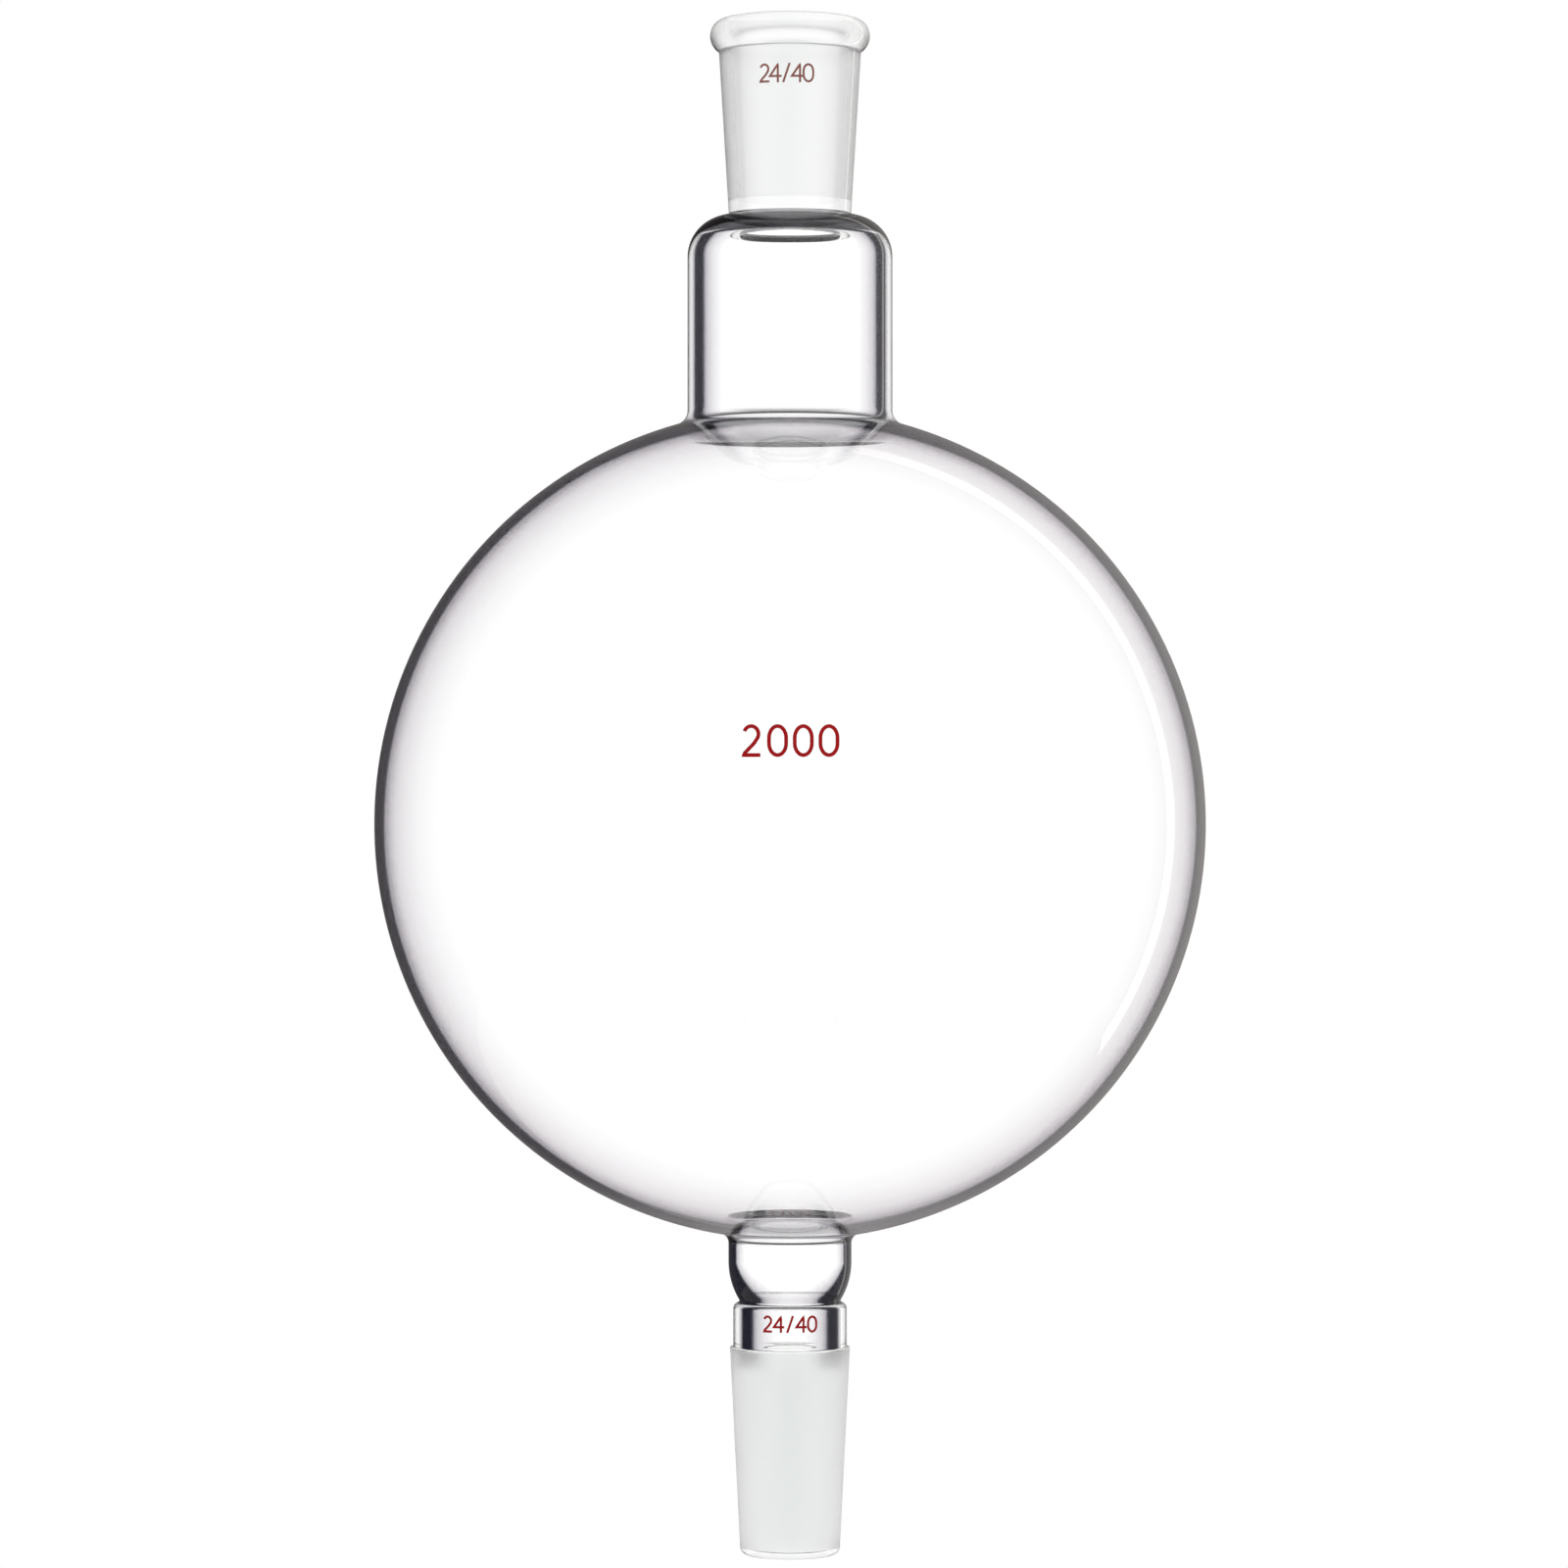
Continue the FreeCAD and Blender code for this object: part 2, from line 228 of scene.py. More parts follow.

# %% [markdown]
# How the wall shows
#
# Clear glass has no colour of its own, and what draws it is its outline. There the eye looks along the wall, where
# light would have to come from far to the side, so the wall turns dark. In a tube this is a dark band about as wide
# as the wall, with a clear line outside it, and in a thin globe it is one dark line with a pale haze behind it. The
# solid glass of the shoulder is grey all over. Dark cards beside the flask would draw these bands too, but they would
# show through it from every other side, so the bands, the haze and the shoulder's grey are painted shade in the
# glass's colour, and they go with each edge of the section.

# %% The painted shade band of each part
# Each band is painted shade: dark bands at the tubes' outlines, a dark line and pale haze inside the globe's, grey
# over the solid shoulder and along the socket's edges, a darker wedge at the neck's seam, and a shadow line under the
# bead.
COLLAR_BAND = Band(wall=1.05 * (1 - THROAT_BORE / COLLAR), tube=1.0)
WAIST_BAND = Band(wall=1.5 * (1 - THROAT_BORE / THROAT), rim=0.6, tube=1.0)
OUTLET_BAND = Band(wall=OUTLET_WALL / OUTLET, rim=0.6, tube=1.0)
GLOBE_FOOT_BAND = Band(wall=GLOBE_WALL / GLOBE, rim=0.4, depth=0.6, haze=1.0)
GLOBE_BAND = Band(wall=0.75 * GLOBE_WALL / GLOBE, rim=0.6, depth=0.93, haze=1.0)
GLOBE_CROWN_BAND = Band(wall=1.2 * GLOBE_WALL / GLOBE, rim=0.55, depth=0.95, haze=1.0)
# A painted darker wedge where the neck rounds into the globe.
SEAM_BAND = Band(wall=0.9, rim=0.47, depth=0.75)
NECK_BAND = Band(wall=1.3 * NECK_WALL / NECK, depth=0.97, tube=1.0)
SHOULDER_BAND = Band(wall=0.45, rim=0.47, depth=0.93)
SOCKET_BAND = Band(wall=0.28, rim=0.47, depth=0.17, tube=1.0)
# A painted shadow line under the bead.
BEAD_FOOT_BAND = Band(wall=0.9, rim=0.47, depth=0.8)
print(f"the band fills {NECK_BAND.wall:.2f} of the neck's half-width and {GLOBE_BAND.wall:.2f} of the globe's")

# %% The outside, going up
TIP_CORNER = JOINT_NARROW - (JOINT_WIDE - JOINT_NARROW) * (CONE_FOOT - TIP) / JOINT_LENGTH
SOCKET_FOOT_OUTSIDE = JOINT_NARROW + SOCKET_WALL
SOCKET_TOP_OUTSIDE = JOINT_WIDE + SOCKET_WALL
SOLID_FROM = SOCKET_FOOT - 0.9
GLOBE_FOOT_EDGE = 45.0
GROUND_COARSE = 1.0
GROUND_FINE = 0.5
BEAD_SHADE = 1.4

middle = (0.0, GLOBE_CENTRE)
wall = HalfSection(JOINT_NARROW - CONE_WALL, TIP)
wall.go(TIP_CORNER, TIP, rounded=TIP_ROUND)
wall.go(JOINT_WIDE, CONE_GAUGE, rounded=CONE_EDGE, ground=GROUND_COARSE)
wall.go(COLLAR, CONE_GAUGE)
wall.go(COLLAR, COLLAR_TOP, rounded=COLLAR_ROUND, band=COLLAR_BAND)
wall.go(THROAT, COLLAR_TOP, rounded=CREASE_ROUND, band=COLLAR_BAND, last_band=WAIST_BAND)
wall.sweep(OUTLET, BOWL_TOP, BOWL_TOP, band=WAIST_BAND, last_band=OUTLET_BAND)
wall.go(OUTLET, on_globe(OUTLET, GLOBE, -1), rounded=OUTLET_SEAM_ROUND, band=OUTLET_BAND)
wall.go(
    GLOBE_FOOT_EDGE,
    on_globe(GLOBE_FOOT_EDGE, GLOBE, -1),
    middle,
    band=GLOBE_FOOT_BAND,
    last_band=GLOBE_BAND,
)
wall.go(GLOBE_FOOT_EDGE, on_globe(GLOBE_FOOT_EDGE, GLOBE, 1), middle, band=GLOBE_BAND)
wall.go(
    NECK,
    on_globe(NECK, GLOBE, 1),
    middle,
    rounded=NECK_SEAM_ROUND,
    band=GLOBE_BAND,
    last_band=GLOBE_CROWN_BAND,
)
wall.go(NECK, NECK_TOP, band=NECK_BAND)
solid_radius = SOCKET_FOOT_OUTSIDE + math.sqrt(SHOULDER_HEIGHT**2 - (SOLID_FROM - NECK_TOP) ** 2)
wall.sweep(solid_radius, SOLID_FROM, NECK_TOP, band=NECK_BAND)
wall.sweep(SOCKET_FOOT_OUTSIDE, SHOULDER_TOP, NECK_TOP, rounded=CREASE_ROUND, band=SHOULDER_BAND)
wall.go(SOCKET_TOP_OUTSIDE, RIM_FOOT, rounded=CREASE_ROUND, band=SOCKET_BAND)
# The bead's foot carries the painted shadow line, which fades out over BEAD_SHADE millimetres.
wall.sweep(RIM, RIM_MIDDLE, RIM_MIDDLE, band=BEAD_FOOT_BAND, last_band=NO_BAND, fade=BEAD_SHADE)
wall.sweep(RIM_LAND, RIM_TOP, RIM_MIDDLE)
print(len(wall.edges), "edges outside")

# %% The hollow, coming down
CLEAR_FOOT = 6.0
GROUND_END = JOINT_NARROW + (JOINT_WIDE - JOINT_NARROW) * CLEAR_FOOT / JOINT_LENGTH

wall.go(JOINT_WIDE, RIM_TOP, rounded=MOUTH_ROUND)
wall.go(JOINT_WIDE, SOCKET_GAUGE)
wall.go(GROUND_END, SOCKET_FOOT + CLEAR_FOOT, ground=GROUND_FINE)
wall.go(JOINT_NARROW, SOCKET_FOOT, rounded=BORE_FOOT_ROUND)
wall.go(NECK_BORE - SHOULDER_INNER_ROUND, SOCKET_FOOT)
wall.sweep(NECK_BORE, CEILING_ROUND, CEILING_ROUND)
# The rounding of the hollow where the neck meets the globe carries the painted darker wedge.
wall.go(
    NECK_BORE,
    on_globe(NECK_BORE, GLOBE_BORE, 1),
    rounded=NECK_SEAM_ROUND + NECK_WALL,
    round_band=SEAM_BAND,
)
wall.go(OUTLET_BORE, on_globe(OUTLET_BORE, GLOBE_BORE, -1), middle, rounded=OUTLET_SEAM_ROUND + OUTLET_WALL)
wall.go(OUTLET_BORE, BOWL_TOP)
wall.sweep(THROAT_BORE, COLLAR_TOP, BOWL_TOP, rounded=WAIST_ROUND)
wall.go(THROAT_BORE, CONE_GAUGE, rounded=WAIST_ROUND)
wall.go(CONE_BORE, CONE_GAUGE - BORE_RUN_IN, rounded=WAIST_ROUND)
wall.go(*wall.first, rounded=TIP_EDGE)
print(len(wall.edges), "edges in all")

# %% [markdown]
# Rounding the corners
#
# A rounding arc touches both edges. Its centre is the radius away from each of them, so the two places where it
# touches are found by sliding along both edges until both give the same centre. That works for straight and round
# edges alike, where a ready-made bevel would only be true between straight ones.


# %% Find where each rounding touches
NUDGE = 1e-5
ROUNDS_OF_SOLVING = 12


def left_of(way):
    """The direction a quarter turn to the left of this one."""
    return np.array([-way[1], way[0]])


def touch(before, after):
    """How far from the corner its rounding leaves one edge and joins the next, and the arc's centre."""
    way_in, way_out = before.at(before.length)[1], after.at(0.0)[1]
    side = math.copysign(1.0, way_in[0] * way_out[1] - way_in[1] * way_out[0])
    half_turn = math.acos(min(1.0, float(way_in @ way_out))) / 2

    def centre(edge, distance):
        point, way = edge.at(distance)
        return point + side * before.rounded * left_of(way)

    slide = np.full(2, before.rounded * math.tan(half_turn))
    for _ in range(ROUNDS_OF_SOLVING):
        miss = centre(before, before.length - slide[0]) - centre(after, slide[1])
        by_first = centre(before, before.length - slide[0] - NUDGE) - centre(after, slide[1]) - miss
        by_second = centre(before, before.length - slide[0]) - centre(after, slide[1] + NUDGE) - miss
        slide = slide - np.linalg.solve(np.column_stack([by_first, by_second]) / NUDGE, miss)
    return slide[0], slide[1], centre(after, slide[1])


corners = [
    touch(edge, wall.edges[(i + 1) % len(wall.edges)]) if edge.rounded else (0.0, 0.0, None)
    for i, edge in enumerate(wall.edges)
]
print(sum(c[2] is not None for c in corners), "rounded corners")

# %% Run a fine line of points along the whole section
FINENESS = 0.01
FEWEST_STEPS = 5
INSET = 0.25


def steps_for(radius, angle):
    """Into how many chords an arc is cut, so that none of them strays further than the fineness."""
    return max(FEWEST_STEPS, math.ceil(angle / (2 * math.acos(1 - FINENESS / max(radius, 2 * FINENESS)))))


def stations(edge, begin, end):
    """Where an edge gets its points, from the last rounding up to the next one, whose first point comes there."""
    if edge.centre is None:
        inset = min(INSET, (end - begin) / 4)
        return [begin, begin + inset, end - inset]
    steps = steps_for(edge.radius, (end - begin) / edge.radius)
    return [begin + (end - begin) * step / steps for step in range(steps)]


section, is_ground, bands = [], [], []
for i, edge in enumerate(wall.edges):
    begin, end = corners[i - 1][1], edge.length - corners[i][0]
    for distance in stations(edge, begin, end):
        section.append(edge.at(distance)[0])
        is_ground.append(edge.ground)
        bands.append(edge.band_at(distance))
    if corners[i][2] is not None:
        after = wall.edges[(i + 1) % len(wall.edges)]
        arc = Edge(edge.at(end)[0], after.at(corners[i][1])[0], corners[i][2])
        steps = steps_for(arc.radius, arc.length / arc.radius)
        for share in np.arange(steps) / steps:
            section.append(arc.at(arc.length * share)[0])
            is_ground.append(0.0)
            marks = edge.last_band + (after.band - edge.last_band) * share
            if edge.round_band:
                marks = marks + (np.array(edge.round_band) - marks) * math.sin(math.pi * share)
            bands.append(marks)
section = np.array(section)
print(len(section), "points round the wall's section")

# %% [markdown]
# Turning the wall
#
# On the lathe the section sweeps once round the axis. A Screw modifier would do it, but the mesh is written out
# directly, because each face can then be marked as clear or ground, and each ring of points can carry the marks of
# its dark band. The hollow runs right through, so the wall closes on itself like a stretched ring and no face meets
# the axis.

# %% Turn the section into the flask
TURNS = 200


def turn_mesh(name, line, grounds, bands):
    """A closed line of (radius, height) in millimetres, turned about Z, with the marks of each of its points."""
    angles = np.linspace(0.0, math.tau, TURNS, endpoint=False)
    radius, height = line[:, :1], line[:, 1:]
    grid = np.stack([radius * np.cos(angles), radius * np.sin(angles), height + 0 * angles], axis=-1)
    here = np.arange(len(line) * TURNS).reshape(len(line), TURNS)
    beside, above = np.roll(here, -1, axis=1), np.roll(here, -1, axis=0)
    corner = np.roll(above, -1, axis=1)
    faces = np.stack([here, beside, corner, above], axis=-1).reshape(-1, 4)
    mesh = bpy.data.meshes.new(name)
    mesh.from_pydata((grid.reshape(-1, 3) * MM).tolist(), [], faces.tolist())
    mesh.attributes.new("ground", "FLOAT", "FACE").data.foreach_set("value", np.repeat(grounds, TURNS).astype("f"))
    for mark, values in zip(Band._fields, np.array(bands).T):
        mesh.attributes.new(mark, "FLOAT", "POINT").data.foreach_set("value", np.repeat(values, TURNS).astype("f"))
    mesh.shade_smooth()
    piece = bpy.data.objects.new(name, mesh)
    scene.collection.objects.link(piece)
    return piece


def enclosed(line):
    """The volume, in millilitres, that a closed line encloses when it is turned: Pappus's rule."""
    (r, z), (r2, z2) = line.T, np.roll(line, -1, axis=0).T
    return abs(np.sum((r * z2 - r2 * z) * (r + r2))) * math.pi / 3 / 1000


flask = turn_mesh("glass_flask", section, is_ground, bands)
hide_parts("flask")
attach(flask, "root")
print(f"{len(flask.data.polygons)} faces round {enclosed(section):.1f} ml of glass")

# %% [markdown]
# Nodes and colours
#
# Every material below is built with one small function that adds a node, sets it and links it. Colours are written
# as people write them on a screen, in hex, and one function turns them into the linear values that light needs.


# %% Two helpers
def linear(hex_colour):
    """A screen colour such as A80F14 as the linear red, green, blue and alpha that a shader takes."""
    shares = [int(hex_colour[i : i + 2], 16) / 255 for i in (0, 2, 4)]
    return (*[s / 12.92 if s <= 0.04045 else ((s + 0.055) / 1.055) ** 2.4 for s in shares], 1.0)


def add(tree, kind, inputs=None, **settings):
    """Adds a node and returns its outputs. Each input is a value, or an output of another node to link."""
    node = tree.nodes.new(kind)
    for name, value in settings.items():
        setattr(node, name, value)
    for socket, value in (inputs or {}).items():
        if isinstance(value, bpy.types.NodeSocket):
            tree.links.new(value, node.inputs[socket])
        else:
            node.inputs[socket].default_value = value
    return node.outputs


def ramp(tree, value, spots, reach):
    """A colour that follows a value, from 0 to its reach, through the colours at these spots."""
    share = add(tree, "ShaderNodeMapRange", {"Value": value, "From Max": reach})[0]
    colour = add(tree, "ShaderNodeValToRGB", {"Fac": share})["Color"]
    stops = colour.node.color_ramp.elements
    while len(stops) < len(spots):
        stops.new(0.5)
    for stop, (spot, hex_colour) in zip(stops, spots):
        stop.position = spot / reach
        stop.color = linear(hex_colour)
    return colour


def new_material(name):
    """An empty material and its node tree."""
    material = bpy.data.materials.new(name)
    material.use_nodes = True
    material.node_tree.nodes.clear()
    return material, material.node_tree


print("A80F14 in linear light:", [round(v, 3) for v in linear("A80F14")[:3]])

# %% [markdown]
# Borosilicate glass
#
# Laboratory glass is borosilicate, with an index of about 1.47. Blown and drawn in the flame, its skin is as smooth
# as a liquid's, with a faint ripple. The two joints were ground with grit on a taper, so their skin is matt: it
# scatters the light and turns pale grey. Both are one piece of glass, so this is one material, and the ground faces
# change its roughness, its grit and its tint: pale grey where they face the eye, painted lighter towards their
# outline. A thin absorbing volume gives the thick places a little more tone.
#
# The dark bands are painted shade in the glass's colour. They follow from how squarely the eye meets the skin, which
# the Layer Weight node tells. On a round wall that gives the distance from the outline, here counted in walls, and a
# ramp turns it into the painted tone there. A tube seen at a slant turns all of its skin a little away, so for tubes
# the part of the look that runs along the axis is taken out first. The shader takes the root of its colour each time
# light crosses the skin, so the tone is multiplied by itself. Light that leaves the glass meets the back of the skin,
# and there the ramp is past its end and adds no tone.

# %% Clear glass, ground at the joints
GLASS_INDEX = 1.474
CLEAR_ROUGHNESS = 0.0
GROUND_ROUGHNESS = 0.65
GRIT = 0.25
GRIT_DEPTH = 0.02
RIPPLE = 14.0
RIPPLE_DEPTH = 0.012
ABSORPTION = 15.0
# The tones of the painted shade: the dark band across each outline, counted in walls, and the pale haze behind the
# globe's.
BAND_REACH = 2.2
BAND = [
    (0.06, "B0B2B6"), (0.15, "FFFFFF"), (0.25, "FFFFFF"), (0.4, "B0AEB2"), (0.47, "3A3A42"), (0.56, "1E202A"),
    (0.88, "1E202A"), (0.98, "4E4E58"), (1.08, "A8A6AC"), (1.25, "CECCD0"), (1.6, "E8E6E9"), (2.2, "FFFFFF"),
]
PAINTED_HAZE_REACH = 7.0
PAINTED_HAZE = [(2.2, "EAE7EA"), (3.2, "F2F0F2"), (4.6, "FAF9FB"), (6.5, "FFFFFF")]

white = linear("FFFFFF")
glass, tree = new_material("borosilicate_glass")
ground = add(tree, "ShaderNodeAttribute", attribute_name="ground")["Fac"]
mark = Band(*[add(tree, "ShaderNodeAttribute", attribute_name=name)["Fac"] for name in Band._fields])
place = add(tree, "ShaderNodeTexCoord")["Object"]
grit = add(tree, "ShaderNodeTexNoise", {"Vector": place, "Scale": 1 / (GRIT * MM), "Detail": 2.0})["Fac"]
ripple = add(tree, "ShaderNodeTexNoise", {"Vector": place, "Scale": 1 / (RIPPLE * MM), "Detail": 1.0})["Fac"]
grit_height = add(tree, "ShaderNodeMath", {0: grit, 1: ground}, operation="MULTIPLY")[0]
skin = add(tree, "ShaderNodeBump", {"Height": ripple, "Distance": RIPPLE_DEPTH * MM})[0]
skin = add(tree, "ShaderNodeBump", {"Height": grit_height, "Distance": GRIT_DEPTH * MM, "Normal": skin})[0]
roughness = add(
    tree,
    "ShaderNodeMapRange",
    {"Value": ground, "To Min": CLEAR_ROUGHNESS, "To Max": GROUND_ROUGHNESS},
)[0]
facing = add(tree, "ShaderNodeLayerWeight", {"Blend": 0.5})["Facing"]
from_inside = add(tree, "ShaderNodeNewGeometry")["Backfacing"]
square_on = add(tree, "ShaderNodeMath", {0: 1.0, 1: facing}, operation="SUBTRACT")[0]
square_on = add(tree, "ShaderNodeMath", {0: square_on, 1: square_on}, operation="MULTIPLY")[0]
upward = add(tree, "ShaderNodeCombineXYZ", {"Z": 1.0})[0]
across = add(tree, "ShaderNodeLayerWeight", {"Blend": 0.5, "Normal": upward})["Facing"]
along = add(tree, "ShaderNodeMath", {0: 1.0, 1: across}, operation="SUBTRACT")[0]
along = add(tree, "ShaderNodeMath", {0: along, 1: along}, operation="MULTIPLY")[0]
along = add(tree, "ShaderNodeMath", {0: along, 1: mark.tube}, operation="MULTIPLY")[0]
level = add(tree, "ShaderNodeMath", {0: 1.0, 1: along}, operation="SUBTRACT")[0]
square_on = add(tree, "ShaderNodeMath", {0: square_on, 1: level}, operation="DIVIDE")[0]
aside = add(tree, "ShaderNodeMath", {0: 1.0, 1: square_on}, operation="SUBTRACT", use_clamp=True)[0]
aside = add(tree, "ShaderNodeMath", {0: aside}, operation="SQRT")[0]
from_rim = add(tree, "ShaderNodeMath", {0: 1.0, 1: aside}, operation="SUBTRACT")[0]
walls_in = add(tree, "ShaderNodeMath", {0: from_rim, 1: mark.wall}, operation="DIVIDE")[0]
walls_in = add(tree, "ShaderNodeMath", {0: walls_in, 1: mark.rim}, operation="MAXIMUM")[0]
walls_in = add(tree, "ShaderNodeMath", {0: from_inside, 1: PAINTED_HAZE_REACH, 2: walls_in}, operation="MULTIPLY_ADD")[0]
# Painted shade: the tone of the dark band and of the pale haze, by how many walls in from the outline.
band = ramp(tree, walls_in, BAND, BAND_REACH)
painted_haze_tone = ramp(tree, walls_in, PAINTED_HAZE, PAINTED_HAZE_REACH)
seen = add(tree, "ShaderNodeMix", {"Factor": mark.depth, 6: white, 7: band}, data_type="RGBA")[2]
painted_haze_tone = add(tree, "ShaderNodeMix", {"Factor": mark.haze, 6: white, 7: painted_haze_tone}, data_type="RGBA")[2]
seen = add(tree, "ShaderNodeVectorMath", {0: seen, 1: painted_haze_tone}, operation="MULTIPLY")[0]
# The ground glass is pale grey face on and painted lighter towards its outline.
matt_and_painted_light = add(tree, "ShaderNodeMix", {"Factor": aside, 6: linear("F0F2F1"), 7: white}, data_type="RGBA")[2]
seen = add(tree, "ShaderNodeMix", {"Factor": ground, 6: seen, 7: matt_and_painted_light}, data_type="RGBA")[2]
tint_and_painted_shade = add(tree, "ShaderNodeVectorMath", {0: seen, 1: seen}, operation="MULTIPLY")[0]
surface = add(
    tree,
    "ShaderNodeBsdfPrincipled",
    {
        "Base Color": tint_and_painted_shade,
        "Roughness": roughness,
        "IOR": GLASS_INDEX,
        "Transmission Weight": 1.0,
        "Normal": skin,
    },
)[0]
depth = add(tree, "ShaderNodeVolumeAbsorption", {"Color": linear("E4E6E2"), "Density": ABSORPTION})[0]
add(tree, "ShaderNodeOutputMaterial", {"Surface": surface, "Volume": depth})
flask.data.materials.append(glass)
print("glass material:", glass.name, "with", len(tree.nodes), "nodes")

# %% [markdown]
# Red enamel numbers
#
# The capacity and the size of the joints are printed through a screen in red enamel and fired on, so each stroke is
# a thin raised film that follows the glass. The numbers are plain ones. A text object could make them, but it would
# lie flat: here each figure is a few strokes of constant width, bent round the flask with every point at its own
# distance from the axis.


# %% The figures as strokes
def bow(x, y, half_width, half_height, start, end, steps=28):
    """Points along part of an ellipse, from one angle to another in degrees."""
    angles = np.radians(np.linspace(start, end, steps + 1))
    return [(x + half_width * math.cos(a), y + half_height * math.sin(a)) for a in angles]


# Each figure is drawn in a space one unit high about its own middle.
FIGURES = {
    "0": [bow(0, 0.08, 0.26, 0.36, 0, 180) + bow(0, -0.08, 0.26, 0.36, 180, 360) + [(0.26, 0.08)]],
    "2": [bow(-0.02, 0.2, 0.22, 0.24, 160, -32) + [(0.06, -0.09), (-0.22, -0.38), (-0.24, -0.44), (0.26, -0.44)]],
    "4": [[(0.33, -0.17), (-0.29, -0.17), (0.13, 0.44), (0.13, -0.5)]],
    "/": [[(-0.17, -0.5), (0.17, 0.5)]],
}
print("figures drawn:", " ".join(FIGURES))

# %% Thicken each stroke and bend it round the glass
FILM = 0.04
FILM_GAP = 0.01
STROKE_STEP = 0.35
MITRE_LIMIT = 0.4


def even_points(stroke):
    """The stroke with points added along its straight runs, so that it can follow a curve."""
    points = [np.array(stroke[0], float)]
    for end in stroke[1:]:
        run = np.array(end, float) - points[-1]
        count = max(1, math.ceil(math.hypot(*run) / STROKE_STEP))
        start = points[-1]
        points += [start + run * (i + 1) / count for i in range(count)]
    return np.array(points)


def edges_of(points, width):
    """The two sides of a stroke, mitred at its corners."""
    closed = np.allclose(points[0], points[-1])
    ways = np.diff(points, axis=0)
    ways /= np.linalg.norm(ways, axis=1)[:, None]
    before = np.vstack([ways[-1:] if closed else ways[:1], ways])
    after = np.vstack([ways, ways[:1] if closed else ways[-1:]])
    sides = np.column_stack([-(before + after)[:, 1], (before + after)[:, 0]])
    sides /= np.maximum(1 + np.sum(before * after, axis=1), MITRE_LIMIT)[:, None]
    return points + sides * width / 2, points - sides * width / 2


def print_number(name, words, tall, pitch, stroke_width, turn, level, radius_at, material):
    """Plain figures round the flask, centred this many degrees from the front and at this level."""
    spots, faces = [], []
    for place, figure in enumerate(words):
        shift = (place - (len(words) - 1) / 2) * pitch
        for stroke in FIGURES[figure]:
            points = even_points([(x * tall + shift, y * tall) for x, y in stroke])
            left, right = edges_of(points, stroke_width)
            base = len(spots)
            for layer in (FILM_GAP, FILM_GAP + FILM):
                for x, y in np.vstack([left, right]):
                    radius = radius_at(level + y)
                    angle = math.radians(turn - 90) + x / radius
                    radius += layer
                    spots.append((radius * math.cos(angle), radius * math.sin(angle), level + y))
            n = len(points)
            for i in range(n - 1):
                back = [base + i, base + i + 1, base + n + i + 1, base + n + i]
                front = [v + 2 * n for v in back]
                faces += [back, front[::-1]]
                faces += [[back[1], back[0], front[0], front[1]], [back[3], back[2], front[2], front[3]]]
            for i in (0, n - 1):
                faces.append([base + i, base + n + i, base + 3 * n + i, base + 2 * n + i][:: 1 if i else -1])
    mesh = bpy.data.meshes.new(name)
    mesh.from_pydata([[v * MM for v in spot] for spot in spots], [], faces)
    mesh.materials.append(material)
    piece = bpy.data.objects.new(name, mesh)
    scene.collection.objects.link(piece)
    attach(piece, "root")
    return piece


print(f"strokes are {FILM} mm thick, {FILM_GAP} mm off the glass")

# %% Fired red enamel
ENAMEL_ROUGHNESS = 0.45
ENAMEL_GLOSS = 0.15
ENAMEL_GRAIN = 0.3
ENAMEL_RELIEF = 0.01
FRESH_BELOW = 0.35
WORN_ABOVE = 0.7


def fired_enamel(name, fresh, worn):
    """A glossy opaque film whose colour wanders a little between a fresh and a worn red."""
    material, tree = new_material(name)
    place = add(tree, "ShaderNodeTexCoord")["Object"]
    grain = add(tree, "ShaderNodeTexNoise", {"Vector": place, "Scale": 1 / (ENAMEL_GRAIN * MM), "Detail": 3.0})["Fac"]
    share = add(tree, "ShaderNodeMapRange", {"Value": grain, "From Min": FRESH_BELOW, "From Max": WORN_ABOVE})[0]
    colour = add(
        tree,
        "ShaderNodeMix",
        {"Factor": share, 6: linear(fresh), 7: linear(worn)},
        data_type="RGBA",
    )[2]
    relief = add(tree, "ShaderNodeBump", {"Height": grain, "Distance": ENAMEL_RELIEF * MM})[0]
    surface = add(
        tree,
        "ShaderNodeBsdfPrincipled",
        {
            "Base Color": colour,
            "Roughness": ENAMEL_ROUGHNESS,
            "Specular IOR Level": ENAMEL_GLOSS,
            "Normal": relief,
        },
    )[0]
    add(tree, "ShaderNodeOutputMaterial", {"Surface": surface})
    return material


red_enamel = fired_enamel("fired_red_enamel", "A00A10", "8C0A0E")
faded_enamel = fired_enamel("faded_red_enamel", "7E4A44", "8E5E55")
print("enamels:", red_enamel.name, faded_enamel.name)

# %% Print the numbers
CAPACITY_LEVEL = 120.6
COLLAR_MARK_LEVEL = 5.4
SOCKET_MARK_LEVEL = 253.2


def socket_radius(height):
    """The socket's outside at this height, as a distance from the axis."""
    share = (height - SHOULDER_TOP) / (RIM_FOOT - SHOULDER_TOP)
    return SOCKET_FOOT_OUTSIDE + share * (SOCKET_TOP_OUTSIDE - SOCKET_FOOT_OUTSIDE)


def globe_radius(height):
    """The globe's outside at this height, as a distance from the axis."""
    return math.sqrt(GLOBE**2 - (height - GLOBE_CENTRE) ** 2)


